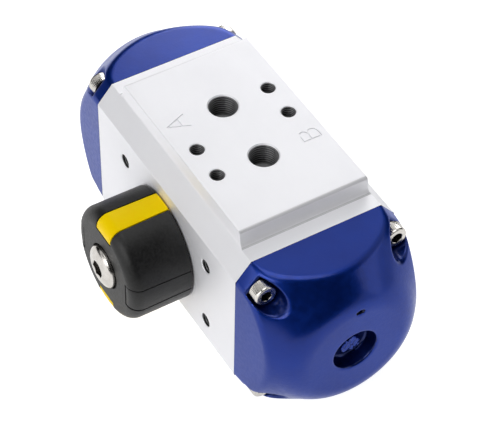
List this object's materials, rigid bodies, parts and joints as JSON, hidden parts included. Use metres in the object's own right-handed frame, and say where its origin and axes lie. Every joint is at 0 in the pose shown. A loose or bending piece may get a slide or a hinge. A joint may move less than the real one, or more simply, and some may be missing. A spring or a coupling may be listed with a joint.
{
  "type": "rotary pneumatic actuator",
  "caption": "Double-acting rack-and-pinion pneumatic rotary actuator: octagonal aluminium body with a raised valve pad, domed blue end caps and a round black-and-yellow position indicator.",
  "frame": {"origin": "centre of the flat underside that the actuator lies on, halfway between the end caps", "axes": "+X along the piston bore towards the right end cap, -Y along the drive shaft out of the position indicator, +Y out of the valve flange, +Z out of the solenoid-valve pad"},
  "size_m": [0.1322, 0.0787, 0.061],
  "materials": {
    "anodised_body": "clear satin anodised extrusion, fine lengthwise die lines, milled pad",
    "blue_cap": "semi-gloss blue moulding with fine grain",
    "stainless": "bright rolled stainless",
    "seal_rubber": "black nitrile",
    "bearing_plastic": "off-white sliding plastic",
    "piston_aluminium": "as machined",
    "drive_steel": "plated steel, satin",
    "black_plastic": "fine-grained black moulding",
    "yellow_plastic": "satin yellow moulding"
  },
  "bodies": {
    "housing": {"body": "anodised_body", "end_cap_right": "blue_cap", "end_cap_left": "blue_cap", "cap_screw_right_1": "stainless", "cap_screw_right_2": "stainless", "cap_screw_right_3": "stainless", "cap_screw_right_4": "stainless", "cap_screw_left_1": "stainless", "cap_screw_left_2": "stainless", "cap_screw_left_3": "stainless", "cap_screw_left_4": "stainless", "cap_seal_right": "seal_rubber", "cap_seal_left": "seal_rubber", "front_bush": "bearing_plastic", "rear_bush": "bearing_plastic"},
    "drive": {"drive_pinion": "drive_steel", "front_shaft_seal": "seal_rubber", "rear_shaft_seal": "seal_rubber", "thrust_washer": "bearing_plastic", "retaining_ring": "drive_steel", "indicator_knob": "black_plastic", "indicator_bar_yellow_1": "yellow_plastic", "indicator_bar_yellow_2": "yellow_plastic", "indicator_bar_black_1": "black_plastic", "indicator_bar_black_2": "black_plastic", "indicator_screw": "stainless"},
    "piston_right": {"piston_right": "piston_aluminium", "piston_seal_right": "seal_rubber", "piston_guide_right": "bearing_plastic", "rack_pad_right": "bearing_plastic"},
    "piston_left": {"piston_left": "piston_aluminium", "piston_seal_left": "seal_rubber", "piston_guide_left": "bearing_plastic", "rack_pad_left": "bearing_plastic"}
  },
  "joints": [
    {"name": "drive_turn", "type": "hinge", "parent": "housing", "child": "drive", "pos_m": [0, 0, 0.0267], "axis": [0, -1, 0], "range_deg": [0, 90]},
    {"name": "piston_right_slide", "type": "slide", "parent": "housing", "child": "piston_right", "axis": [1, 0, 0], "range_m": [0, 0.011]},
    {"name": "piston_left_slide", "type": "slide", "parent": "housing", "child": "piston_left", "axis": [-1, 0, 0], "range_m": [0, 0.011]}
  ],
  "couplings": [
    {"joint": "piston_right_slide", "follows": "drive_turn", "m_per_rad": 0.007},
    {"joint": "piston_left_slide", "follows": "drive_turn", "m_per_rad": 0.007}
  ]
}
